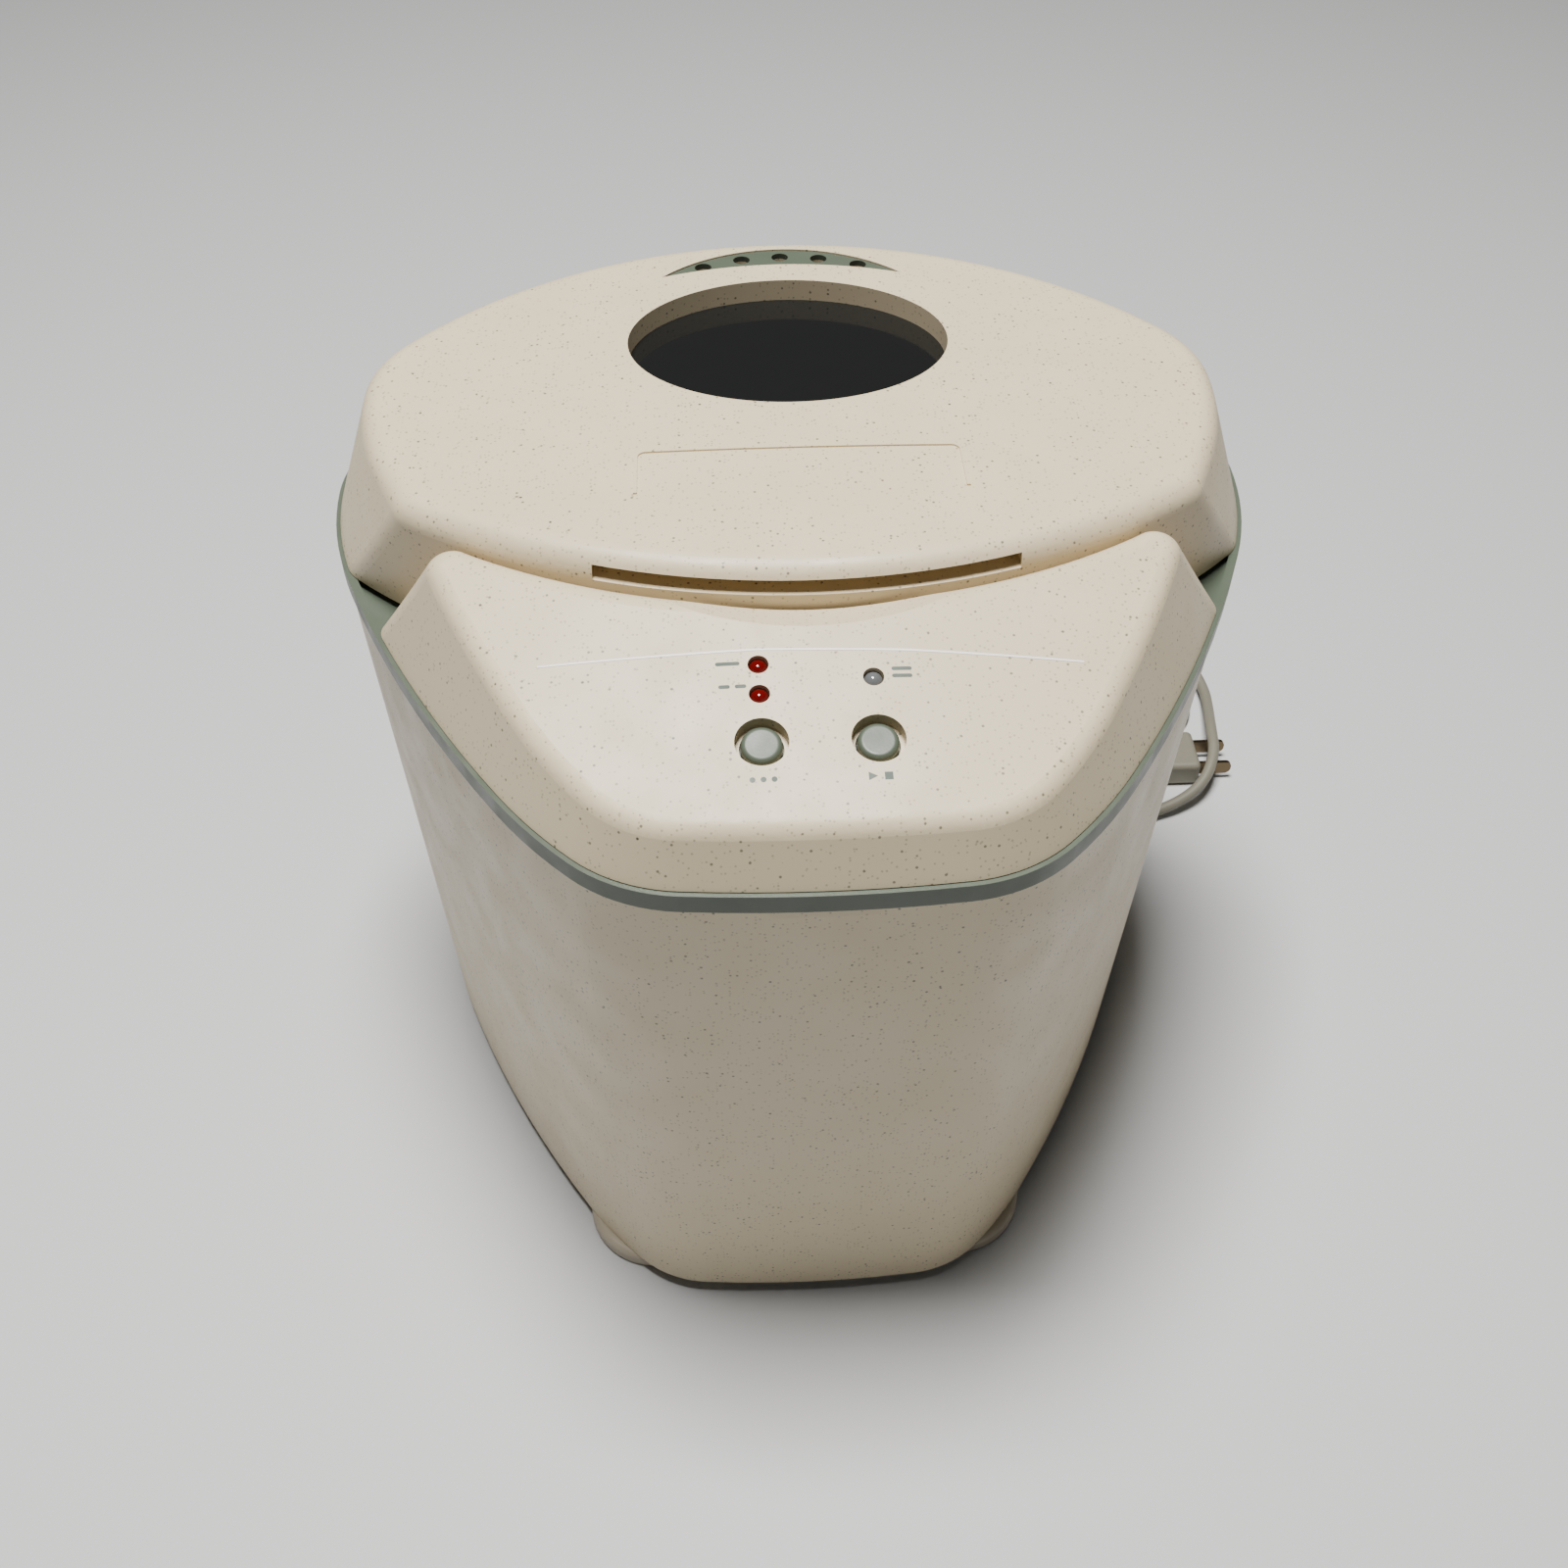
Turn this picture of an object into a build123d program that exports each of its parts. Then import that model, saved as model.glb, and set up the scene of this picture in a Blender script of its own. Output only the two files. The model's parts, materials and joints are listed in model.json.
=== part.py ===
from build123d import *
import math
import os

# ---------------------------------------------------------------- driving dimensions (mm, degrees)
# Plan outline of the body: half of it, as tangent arcs (radius, turn) from the nose to the rear.
# The last arc, across the back, is centred on the axis of symmetry and closes the outline.
PLAN_ARCS = ((400.0, 5.0), (44.5, 38.0), (140.0, 12.0), (420.0, 13.7), (118.0, 21.3), (51.0, 40.0))

FOOT_HEIGHT = 6.0
COLLAR_LOW = 204.0
COLLAR_HEIGHT = 6.0
HOOD_BASE = COLLAR_LOW + COLLAR_HEIGHT
LID_TOP = 250.0
HOUSING_DRAFT = 8.0
HOUSING_INSET = 0.8
HOOD_INSET = 1.3
HOOD_LEAN = 20.0
WALL = 2.5
GAP = 0.4

# Lid
LID_FRONT_RADIUS = 181.0
LID_FRONT_S = 73.5
LID_DOME_RADIUS = 1900.0
LID_EDGE_RADIUS = 7.0
LID_CORNER_RADIUS = 9.0
LID_CENTRE_S = LID_FRONT_S + LID_FRONT_RADIUS
LID_SCREWS = ((90.0, 130.0), (104.0, 205.0), (50.0, 90.0))
LID_SCREW_RADIUS = 1.5
LINER_Z = HOOD_BASE + 1.2
LINER_THICK = 1.0
REFLECTOR_FLARE = 4.0
WINDOW_S = 181.0
WINDOW_A = 47.0
WINDOW_B = 34.3
WINDOW_DEPTH = 7.5
GLASS_THICK = 3.0
CRESCENT_TIP = (37.0, 219.5)
CRESCENT_OUTER_S = 236.0
CRESCENT_INNER_S = 225.7
CRESCENT_THICK = 2.5
VENT_RADIUS = 2.6
VENT_ARC_RADIUS = 56.0
VENT_ARC_S = 231.2
VENT_STEP = 12.1
PLAQUE_WIDTH = 89.0
PLAQUE_DEPTH = 21.8
PLAQUE_S = 114.8
PLAQUE_LINE = 1.0
PLAQUE_RISE = 0.5
GRIP_HALF_WIDTH = 55.0
GRIP_LOW = 240.6
GRIP_HIGH = 244.6
GRIP_DEPTH = 9.0

# Base
POD_RADIUS = 22.5
FRONT_POD = (50.0, 42.0)
REAR_POD = (74.0, 196.0)
PAD_RADIUS = 9.0
POST_RADIUS = 5.0
CHASSIS_POSTS = ((30.0, 28.0), (58.0, 92.0), (80.0, 150.0), (60.0, 222.0))
BASE_VENT_COUNT = 7
BASE_VENT_PITCH = 9.0

# Hinge
HINGE_S = 247.0
HINGE_Z = 217.0
HINGE_PIN_RADIUS = 2.0
HINGE_BARREL_RADIUS = 4.6
HINGE_PIN_LENGTH = 108.0
NOTCH_HALF_WIDTH = 62.0
NOTCH_S = 240.5
NOTCH_TOP = 222.6
KNUCKLE_X = 34.0
KNUCKLE_LENGTH = 18.0
LUG_X = 49.0
LUG_LENGTH = 10.0
RUNNING_GAP = 0.05

# Control panel
PANEL_FRONT_Z = COLLAR_LOW + 22.0
PANEL_FRONT_S = 8.0
PANEL_SLOPE = 15.0
PANEL_CROWN = 1000.0
PANEL_EDGE_RADIUS = 6.0
PANEL_CORNER_RADIUS = 7.0
PANEL_GAP = 1.2
SCOOP_RADIUS = 150.0
SCOOP_DEPTH = 6.5
SCOOP_PITCH = 19.0
BUTTON_X = 14.0
BUTTON_S = 30.0
BUTTON_WELL_RADIUS = 6.6
BUTTON_WELL_DEPTH = 4.0
BUTTON_CAP_RADIUS = 5.1
BUTTON_STROKE = 1.5
LED_RADIUS = 2.5
LED_X = 14.0
MODE_LED_S = (51.2, 43.0)
STATUS_LED_S = 46.8
BOARD_DROP = 17.0
BOARD_WIDTH = 84.0
BOARD_LENGTH = 40.0
BOARD_THICK = 1.6
BOARD_S = 40.0
BOARD_POST_X = 36.0
BOARD_POST_S = (26.0, 56.0)

# Oven chamber and bread pan
CHAMBER_S = 165.0
CHAMBER_RADIUS = 79.0
CHAMBER_FLOOR = 58.0
SHEET = 0.8
DECK_TOP = 207.5
PAN_RADIUS = 60.0
PAN_WALL = 1.5
PAN_FLOOR = 80.0
PAN_TOP = 192.0
PAN_RIM = 3.5
BAIL_RADIUS = 66.0
BAIL_WIRE = 2.0
BAIL_Z = 197.5
SHAFT_RADIUS = 4.0
ELEMENT_RADIUS = 70.0
ELEMENT_WIRE = 3.2
ELEMENT_Z = 74.0
TERMINAL_X = 12.0
TERMINAL_LENGTH = 17.0
SENSOR_X = 34.0
SENSOR_Z = 120.0
FOOT_RING_RADIUS = 40.0
HUB_RADIUS = 8.0

# Drive
CHASSIS_Z = 44.0
CHASSIS_THICK = 1.5
PULLEY_LOW = 18.0
PULLEY_HEIGHT = 10.0
PULLEY_RADIUS = 42.0
PINION_RADIUS = 9.0
BELT_THICK = 1.6
BELT_WIDTH = 7.0
MOTOR_S = 47.0
MOTOR_RADIUS = 29.0
MOTOR_LENGTH = 62.0
MOTOR_LOW = CHASSIS_Z + CHASSIS_THICK
MOTOR_TOP = MOTOR_LOW + MOTOR_LENGTH
MOTOR_SHAFT_RADIUS = 3.0
SPOKE_COUNT = 5
FAN_BLADES = 7
BELT_CLEAR = 0.3

# Mains cord
CORD_RADIUS = 2.35
CORD_Z = 2.6
GLAND_ANGLE = 24.0
GLAND_Z = 30.0
GLAND_LENGTH = 26.0
GLAND_FLANGE = 2.0
COIL_INNER = 20.5
COIL_OUTER = 34.9
COIL_X = 139.0
COIL_S = 325.0
COIL_HEIGHT = 11.0
PLUG_X = 153.0
PLUG_S = 243.5
PLUG_Z = 6.0
PLUG_LENGTH = 26.0
PLUG_WIDTH = 22.0
PLUG_THICK = 11.5
BLADE_SPACING = 12.7
BLADE_LENGTH = 18.0
BLADE_ROOT = 4.0
BLADE_THICK = 1.5
BLADE_WIDTH = 6.3


# ---------------------------------------------------------------- plan outline
def half_chain(inset):
    """Start points, headings, radii and turns of the half outline, moved inward by inset."""
    point = Vector(0, inset, 0)
    heading = 0.0
    chain = []
    for radius, turn in PLAN_ARCS:
        arc_radius = radius - inset
        chain.append((point, heading, arc_radius, turn))
        start = math.radians(heading)
        end = math.radians(heading + turn)
        point = point + Vector(
            arc_radius * (math.sin(end) - math.sin(start)),
            arc_radius * (math.cos(start) - math.cos(end)),
            0,
        )
        heading += turn
    last_radius = point.X / math.sin(math.radians(180.0 - heading))
    chain.append((point, heading, last_radius, 180.0 - heading))
    return chain


def outline_depth():
    point, heading, radius, turn = half_chain(0.0)[-1]
    return point.Y + radius * (1.0 - math.cos(math.radians(turn)))


BODY_DEPTH = outline_depth()
BACK_RADIUS = half_chain(0.0)[-1][2]
BACK_CENTRE_S = BODY_DEPTH - BACK_RADIUS


def y_of(distance):
    """Y of a point at a distance behind the nose."""
    return distance - BODY_DEPTH / 2.0


def plan_face(inset, z):
    """The body's plan outline, moved inward by inset, as a face at height z."""
    edges = []
    for point, heading, radius, turn in half_chain(inset):
        tangent = Vector(math.cos(math.radians(heading)), math.sin(math.radians(heading)), 0)
        start = Vector(point.X, y_of(point.Y), z)
        edge = JernArc(start=start, tangent=tangent, radius=radius, arc_size=turn).edge()
        edges.append(edge)
    mirrored = [edge.mirror(Plane.YZ) for edge in edges]
    return Face(Wire(edges + mirrored))


def hood_inset(z, extra=0.0):
    return HOOD_INSET + extra + (z - HOOD_BASE) * math.tan(math.radians(HOOD_LEAN))


def hood_solid(z_low, z_high, extra=0.0):
    """Leaning body of the lid and control panel, between two heights."""
    low = plan_face(hood_inset(z_low, extra), z_low)
    high = plan_face(hood_inset(z_high, extra), z_high)
    return loft([low, high], ruled=True)


def upright(radius, z_low, z_high, x=0.0, distance=0.0):
    """Upright cylinder at x and a distance behind the nose."""
    height = z_high - z_low
    return Pos(x, y_of(distance), z_low) * Cylinder(
        radius, height, align=(Align.CENTER, Align.CENTER, Align.MIN)
    )


def both_sides(places):
    return [(side * x, distance) for x, distance in places for side in (-1, 1)]


def block(x_size, y_size, z_size, x, distance, z):
    """Block standing on height z, centred at x and a distance behind the nose."""
    return Pos(x, y_of(distance), z) * Box(
        x_size, y_size, z_size, align=(Align.CENTER, Align.CENTER, Align.MIN)
    )


def oval(a, b, z_low, z_high, distance):
    face = Pos(0, y_of(distance), z_low) * Ellipse(a, b)
    return extrude(face, amount=z_high - z_low)


def dome(z_top, radius):
    """Large ball whose top is at z_top above the middle of the lid."""
    return Pos(0, y_of(WINDOW_S - 20.0), z_top - radius) * Sphere(radius)


# ---------------------------------------------------------------- lid
def lid_block(shrink):
    """The lid's outer form, or its inner form when shrink is the wall thickness."""
    z_low = HOOD_BASE if shrink == 0.0 else HOOD_BASE - 1.0
    body = hood_solid(z_low, LID_TOP + 4.0, shrink)
    body = body & upright(LID_FRONT_RADIUS - shrink, z_low, LID_TOP + 6.0, 0.0, LID_CENTRE_S)
    notch_depth = BODY_DEPTH - NOTCH_S + 20.0
    notch = block(
        2 * (NOTCH_HALF_WIDTH + shrink),
        notch_depth + shrink,
        NOTCH_TOP + shrink - z_low + 5.0,
        0.0,
        NOTCH_S + (notch_depth - shrink) / 2,
        z_low - 5.0,
    )
    corners = body.edges().filter_by(lambda e: abs(e.tangent_at(0.5).Z) > 0.5)
    corners = corners.filter_by(lambda e: y_of(90.0) < e.center().Y < y_of(125.0))
    body = fillet(corners, LID_CORNER_RADIUS - shrink)
    body = body & dome(LID_TOP - shrink, LID_DOME_RADIUS)
    top = body.faces().sort_by(Axis.Z)[-1]
    body = fillet(top.outer_wire().edges(), LID_EDGE_RADIUS - shrink)
    return body - notch


def crescent(z_low, z_high, grow=0.0):
    """Crescent behind the window."""
    tip_x, tip_s = CRESCENT_TIP
    tip_y = y_of(tip_s)
    outer = ThreePointArc((-tip_x, tip_y), (0, y_of(CRESCENT_OUTER_S)), (tip_x, tip_y))
    inner = ThreePointArc((tip_x, tip_y), (0, y_of(CRESCENT_INNER_S)), (-tip_x, tip_y))
    face = make_face([outer.edge(), inner.edge()])
    if grow != 0.0:
        face = offset(face, amount=grow)
    return extrude(Pos(0, 0, z_low) * face, amount=z_high - z_low)


def vent_places():
    """Plan positions of the five round vents, on an arc."""
    places = []
    for index in range(-2, 3):
        x = index * VENT_STEP
        drop = VENT_ARC_RADIUS - math.sqrt(VENT_ARC_RADIUS**2 - x * x)
        places.append((x, VENT_ARC_S - drop))
    return places


def make_lid_shell():
    outer = lid_block(0.0)
    inner = lid_block(WALL)
    shell = outer - inner
    glass_top = LID_TOP - WINDOW_DEPTH
    well = oval(WINDOW_A + WALL, WINDOW_B + WALL, glass_top, LID_TOP - WALL, WINDOW_S)
    shell = shell + well
    shell = shell - oval(WINDOW_A, WINDOW_B, glass_top - 5.0, LID_TOP + 5.0, WINDOW_S)
    seat = LID_TOP - CRESCENT_THICK - 1.0
    pocket = crescent(seat - WALL, LID_TOP - WALL, 2.0) - crescent(seat, LID_TOP + 5.0)
    shell = shell - crescent(seat, LID_TOP + 5.0)
    shell = shell + pocket
    for x, distance in vent_places():
        shell = shell - upright(VENT_RADIUS, seat - 5.0, LID_TOP + 5.0, x, distance)
    grip_ring = upright(LID_FRONT_RADIUS + 5.0, GRIP_LOW, GRIP_HIGH, 0.0, LID_CENTRE_S)
    grip_ring = grip_ring - upright(LID_FRONT_RADIUS - GRIP_DEPTH, GRIP_LOW, GRIP_HIGH, 0.0, LID_CENTRE_S)
    front = block(2 * GRIP_HALF_WIDTH, 40.0, 30.0, 0.0, LID_FRONT_S, GRIP_LOW - 10.0)
    grip = grip_ring & front
    lining_ring = upright(LID_FRONT_RADIUS - 1.0, GRIP_LOW - WALL, GRIP_HIGH + 1.2, 0.0, LID_CENTRE_S)
    inner_cut = upright(LID_FRONT_RADIUS - GRIP_DEPTH - WALL, 0.0, LID_TOP, 0.0, LID_CENTRE_S)
    lining = (lining_ring - inner_cut) & block(
        2 * (GRIP_HALF_WIDTH + WALL), 40.0, 30.0, 0.0, LID_FRONT_S, GRIP_LOW - 10.0
    )
    shell = shell + (lining & outer) - grip
    ring = RectangleRounded(PLAQUE_WIDTH, PLAQUE_DEPTH, 3.0)
    ring = ring - RectangleRounded(PLAQUE_WIDTH - 2 * PLAQUE_LINE, PLAQUE_DEPTH - 2 * PLAQUE_LINE, 2.2)
    plaque = extrude(Pos(0, y_of(PLAQUE_S), LID_TOP - WALL) * ring, amount=10.0)
    plaque = plaque - block(PLAQUE_WIDTH + 2.0, 6.0, 20.0, 0.0, PLAQUE_S - PLAQUE_DEPTH / 2, LID_TOP - 5.0)
    shell = shell + (plaque & dome(LID_TOP + PLAQUE_RISE, LID_DOME_RADIUS))
    for boss in lid_bosses():
        shell = shell + (boss & outer)
    for side in (-1, 1):
        shell = shell + hinge_barrel(side * KNUCKLE_X, KNUCKLE_LENGTH, NOTCH_TOP + 1.0)
    return shell - hinge_bore()


def hinge_barrel(x, length, web_end):
    """Barrel on the hinge axis, with a web up or down to web_end."""
    centre = Pos(x, y_of(HINGE_S), HINGE_Z)
    barrel = centre * Rot(0, 90, 0) * Cylinder(HINGE_BARREL_RADIUS, length)
    low = min(HINGE_Z, web_end)
    web = block(length, HINGE_BARREL_RADIUS * 1.2, abs(web_end - HINGE_Z), x, HINGE_S, low)
    return barrel + web


def hinge_bore():
    radius = HINGE_PIN_RADIUS + RUNNING_GAP
    return Pos(0, y_of(HINGE_S), HINGE_Z) * Rot(0, 90, 0) * Cylinder(radius, HINGE_PIN_LENGTH + 10.0)


def make_lid_liner():
    """Aluminium inner plate of the lid, with a flared oval sleeve up to the window."""
    plate = plan_face(hood_inset(LINER_Z, WALL + 0.5), LINER_Z)
    plate = extrude(plate, amount=LINER_THICK)
    plate = plate & upright(LID_FRONT_RADIUS - WALL - 0.5, 0.0, LID_TOP, 0.0, LID_CENTRE_S)
    plate = plate & block(400.0, 400.0, 300.0, 0.0, NOTCH_S - WALL - 0.6 - 200.0, 0.0)
    for side in (-1, 1):
        plate = plate - block(30.0, 30.0, 60.0, side * (outline_x(118.0) + 2.0), 112.0, 190.0)
    top = LID_TOP - WINDOW_DEPTH - GLASS_THICK - 2.4
    low_a = WINDOW_A + REFLECTOR_FLARE + 6.0
    low_b = WINDOW_B + REFLECTOR_FLARE + 6.0
    outer = flared_oval(low_a, low_b, LINER_Z, WINDOW_A + 1.0, WINDOW_B + 1.0, top)
    inner = flared_oval(low_a - 1.0, low_b - 1.0, LINER_Z - 0.01, WINDOW_A, WINDOW_B, top + 0.01)
    for x, distance in both_sides(LID_SCREWS):
        plate = plate - upright(LID_SCREW_RADIUS + 0.1, 0.0, LID_TOP, x, distance)
    return (plate + outer) - inner


def outline_x(distance):
    """Half-width of the outline on the long side arc, at a distance behind the nose."""
    point, heading, radius, turn = half_chain(0.0)[3]
    cosine = math.cos(math.radians(heading)) - (distance - point.Y) / radius
    return point.X + radius * (math.sin(math.acos(cosine)) - math.sin(math.radians(heading)))


def flared_oval(low_a, low_b, low_z, high_a, high_b, high_z):
    low = Pos(0, y_of(WINDOW_S), low_z) * Ellipse(low_a, low_b)
    high = Pos(0, y_of(WINDOW_S), high_z) * Ellipse(high_a, high_b)
    return loft([low.face(), high.face()])


def make_window_glass():
    top = LID_TOP - WINDOW_DEPTH
    return oval(WINDOW_A + 1.6, WINDOW_B + 1.6, top - GLASS_THICK, top, WINDOW_S)


def make_window_gasket():
    """Rubber channel round the edge of the glass."""
    top = LID_TOP - WINDOW_DEPTH
    low = top - GLASS_THICK - 2.3
    ring = oval(WINDOW_A + 4.6, WINDOW_B + 4.6, low, top, WINDOW_S)
    ring = ring - oval(WINDOW_A + 1.6, WINDOW_B + 1.6, top - GLASS_THICK, top, WINDOW_S)
    return ring - oval(WINDOW_A - 0.5, WINDOW_B - 0.5, low, top, WINDOW_S)


def make_vent_insert():
    low = LID_TOP - CRESCENT_THICK - 1.0
    insert = crescent(low, LID_TOP + 2.0, -0.3) & dome(LID_TOP - 0.4, LID_DOME_RADIUS)
    for x, distance in vent_places():
        insert = insert - upright(VENT_RADIUS, low - 1.0, LID_TOP + 5.0, x, distance)
    return insert


def make_hinge_pin():
    return Pos(0, y_of(HINGE_S), HINGE_Z) * Rot(0, 90, 0) * Cylinder(HINGE_PIN_RADIUS, HINGE_PIN_LENGTH)


def make_lid_screws():
    """Pan-head screws that hold the liner to the lid."""
    screws = []
    for x, distance in both_sides(LID_SCREWS):
        shank = upright(LID_SCREW_RADIUS, LINER_Z - 0.5, LINER_Z + 9.0, x, distance)
        screws.append(shank + upright(3.0, LINER_Z - 1.0, LINER_Z, x, distance))
    return screws


def lid_bosses():
    """Posts inside the lid that take the liner's screws."""
    bosses = []
    for x, distance in both_sides(LID_SCREWS):
        post = upright(3.5, LINER_Z + LINER_THICK, LID_TOP - WALL - 0.5, x, distance)
        bosses.append(post - upright(LID_SCREW_RADIUS, 0.0, LINER_Z + 10.0, x, distance))
    return bosses


# ---------------------------------------------------------------- collar and housing
def make_housing():
    """Wrap-around side wall with a slight draft, open at the top and bottom."""
    shells = []
    for extra in (0.0, WALL):
        low = plan_face(HOUSING_INSET + HOUSING_DRAFT + extra, FOOT_HEIGHT)
        high = plan_face(HOUSING_INSET + extra, COLLAR_LOW)
        shells.append(loft([low, high], ruled=True))
    wall = shells[0] - shells[1]
    hole = gland_place(0.0) * Cylinder(5.1, 20.0)
    tab = block(26.0, 1.0, 2.4, 0.0, HOUSING_INSET + 0.1, COLLAR_LOW - 2.4)
    return wall + tab - hole


def make_collar():
    """Coloured trim ring with a deck that carries the oven chamber and the hinge lugs."""
    band = extrude(plan_face(0.0, COLLAR_LOW), amount=COLLAR_HEIGHT - 0.3)
    band = band - extrude(plan_face(WALL, COLLAR_LOW - 1.0), amount=COLLAR_HEIGHT + 2.0)
    skirt = extrude(plan_face(HOUSING_INSET + WALL + 0.6, COLLAR_LOW - 6.0), amount=7.5)
    skirt = skirt - extrude(plan_face(HOUSING_INSET + 2 * WALL + 0.6, COLLAR_LOW - 7.0), amount=9.0)
    deck = extrude(plan_face(WALL - 0.1, DECK_TOP - WALL), amount=WALL)
    opening = upright(CHAMBER_RADIUS + 0.3, 100.0, 260.0, 0.0, CHAMBER_S)
    front_opening = upright(LID_FRONT_RADIUS + 6.0, 100.0, 260.0, 0.0, LID_CENTRE_S)
    nose_opening = extrude(plan_face(12.0, 190.0), amount=40.0) - front_opening
    collar = band + skirt + deck - opening - nose_opening
    for side in (-1, 1):
        collar = collar + hinge_barrel(side * LUG_X, LUG_LENGTH, DECK_TOP - 1.0)
    return collar - hinge_bore()


def gland_place(offset):
    """Place on the back wall where the cord leaves, offset outwards; local Z points out."""
    inset = HOUSING_INSET + HOUSING_DRAFT * (COLLAR_LOW - GLAND_Z) / (COLLAR_LOW - FOOT_HEIGHT)
    radius = BACK_RADIUS - inset + offset
    angle = math.radians(GLAND_ANGLE)
    x = radius * math.sin(angle)
    y = y_of(BACK_CENTRE_S + radius * math.cos(angle))
    return Pos(x, y, GLAND_Z) * Rot(0, 0, -GLAND_ANGLE) * Rot(-90, 0, 0)


def make_base_pan():
    """Floor of the machine, with four foot pods below and posts for the chassis above."""
    inset = HOUSING_INSET + HOUSING_DRAFT + WALL + 0.2
    base = extrude(plan_face(inset, FOOT_HEIGHT), amount=WALL)
    rim = extrude(plan_face(inset, FOOT_HEIGHT), amount=10.0)
    rim = rim - extrude(plan_face(inset + 2.0, FOOT_HEIGHT - 1.0), amount=12.0)
    base = base + rim
    for x, distance in both_sides((FRONT_POD, REAR_POD)):
        pod = upright(POD_RADIUS, 1.0, FOOT_HEIGHT, x, distance)
        pod = fillet(pod.edges().group_by(Axis.Z)[-1], 2.0)
        base = base + pod - upright(PAD_RADIUS, 0.0, 2.5, x, distance)
    for x, distance in both_sides(CHASSIS_POSTS):
        base = base + upright(POST_RADIUS, FOOT_HEIGHT + 1.0, CHASSIS_Z, x, distance)
        base = base - upright(1.6, 20.0, CHASSIS_Z + 1.0, x, distance)
    for index in range(BASE_VENT_COUNT):
        slot_x = (index - (BASE_VENT_COUNT - 1) / 2) * BASE_VENT_PITCH
        base = base - block(4.0, 34.0, 10.0, slot_x, 130.0, 0.0)
    return base


def make_foot_pads():
    return [upright(PAD_RADIUS, 0.0, 2.5, x, distance) for x, distance in both_sides((FRONT_POD, REAR_POD))]


# ---------------------------------------------------------------- control panel
PANEL_PLANE = Plane(
    origin=(0, y_of(PANEL_FRONT_S), PANEL_FRONT_Z),
    x_dir=(1, 0, 0),
    z_dir=(0, -math.sin(math.radians(PANEL_SLOPE)), math.cos(math.radians(PANEL_SLOPE))),
)


def panel_place(x, distance, height):
    """Place on the panel's slope at x and a distance behind the nose; local Z is the slope's normal."""
    up_slope = (distance - PANEL_FRONT_S) / math.cos(math.radians(PANEL_SLOPE))
    return PANEL_PLANE.location * Pos(x, up_slope, height)


def sloped(radius, low, high, x, distance):
    """Cylinder square to the panel's slope, between two heights from its surface."""
    return panel_place(x, distance, low) * Cylinder(
        radius, high - low, align=(Align.CENTER, Align.CENTER, Align.MIN)
    )


def panel_block(shrink):
    z_low = HOOD_BASE if shrink == 0.0 else HOOD_BASE - 1.0
    body = hood_solid(z_low, LID_TOP + 10.0, shrink)
    body = body - upright(LID_FRONT_RADIUS + PANEL_GAP + shrink, 0.0, 400.0, 0.0, LID_CENTRE_S)
    body = body & block(400.0, 160.0, 100.0, 0.0, 60.0, z_low)
    body = body.solids().sort_by(Axis.Y)[0]
    corners = body.edges().filter_by(lambda e: abs(e.tangent_at(0.5).Z) > 0.5)
    corners = corners.filter_by(lambda e: e.center().Y > y_of(85.0))
    body = fillet(corners, PANEL_CORNER_RADIUS - shrink)
    crown = panel_place(0.0, 60.0, -PANEL_CROWN) * Rot(90, 0, 0) * Cylinder(PANEL_CROWN - shrink, 500.0)
    body = body & crown
    top = body.faces().sort_by(Axis.Z)[-1]
    body = fillet(top.outer_wire().edges(), PANEL_EDGE_RADIUS - shrink)
    rear = LID_FRONT_S - PANEL_GAP
    slope = math.tan(math.radians(PANEL_SLOPE))
    rear_z = PANEL_FRONT_Z + (rear - PANEL_FRONT_S) * slope
    scoop_low = Pos(0, y_of(rear), rear_z - SCOOP_DEPTH) * Rot(-SCOOP_PITCH, 0, 0)
    scoop = scoop_low * Pos(0, 0, SCOOP_RADIUS) * Rot(90, 0, 0) * Cylinder(SCOOP_RADIUS + shrink, 120.0)
    return body - scoop


def board_posts():
    return both_sides([(BOARD_POST_X, distance) for distance in BOARD_POST_S])


def make_control_panel():
    panel = panel_block(0.0) - panel_block(WALL)
    for x in (-BUTTON_X, BUTTON_X):
        low = -BUTTON_WELL_DEPTH - 1.5
        panel = panel + sloped(BUTTON_WELL_RADIUS + 1.5, low, -1.2, x, BUTTON_S)
        panel = panel - sloped(BUTTON_WELL_RADIUS, -BUTTON_WELL_DEPTH, 5.0, x, BUTTON_S)
        panel = panel - sloped(BUTTON_CAP_RADIUS + GAP, low - 1.0, 5.0, x, BUTTON_S)
    for x, distance in led_places():
        panel = panel - sloped(LED_RADIUS + 0.1, -5.0, 5.0, x, distance)
    for x, distance in board_posts():
        panel = panel + sloped(3.0, -BOARD_DROP, -WALL + 0.5, x, distance)
        panel = panel - sloped(1.1, -BOARD_DROP - 1.0, -BOARD_DROP + 8.0, x, distance)
    return panel


def led_places():
    places = [(-LED_X, distance) for distance in MODE_LED_S]
    places.append((LED_X, STATUS_LED_S))
    return places


def make_button(x):
    """Domed cap with a retaining flange and a stem that reaches the switch."""
    top = -1.0
    cap = sloped(BUTTON_CAP_RADIUS, -6.2, top, x, BUTTON_S)
    cap = fillet(cap.edges().sort_by(Axis.Z)[-1], 1.4)
    low = -BUTTON_WELL_DEPTH - 1.5 - 0.3
    flange = sloped(BUTTON_CAP_RADIUS + 1.3, low - 1.4, low, x, BUTTON_S)
    stem = sloped(2.0, -11.6, low, x, BUTTON_S)
    return cap + flange + stem


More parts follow.
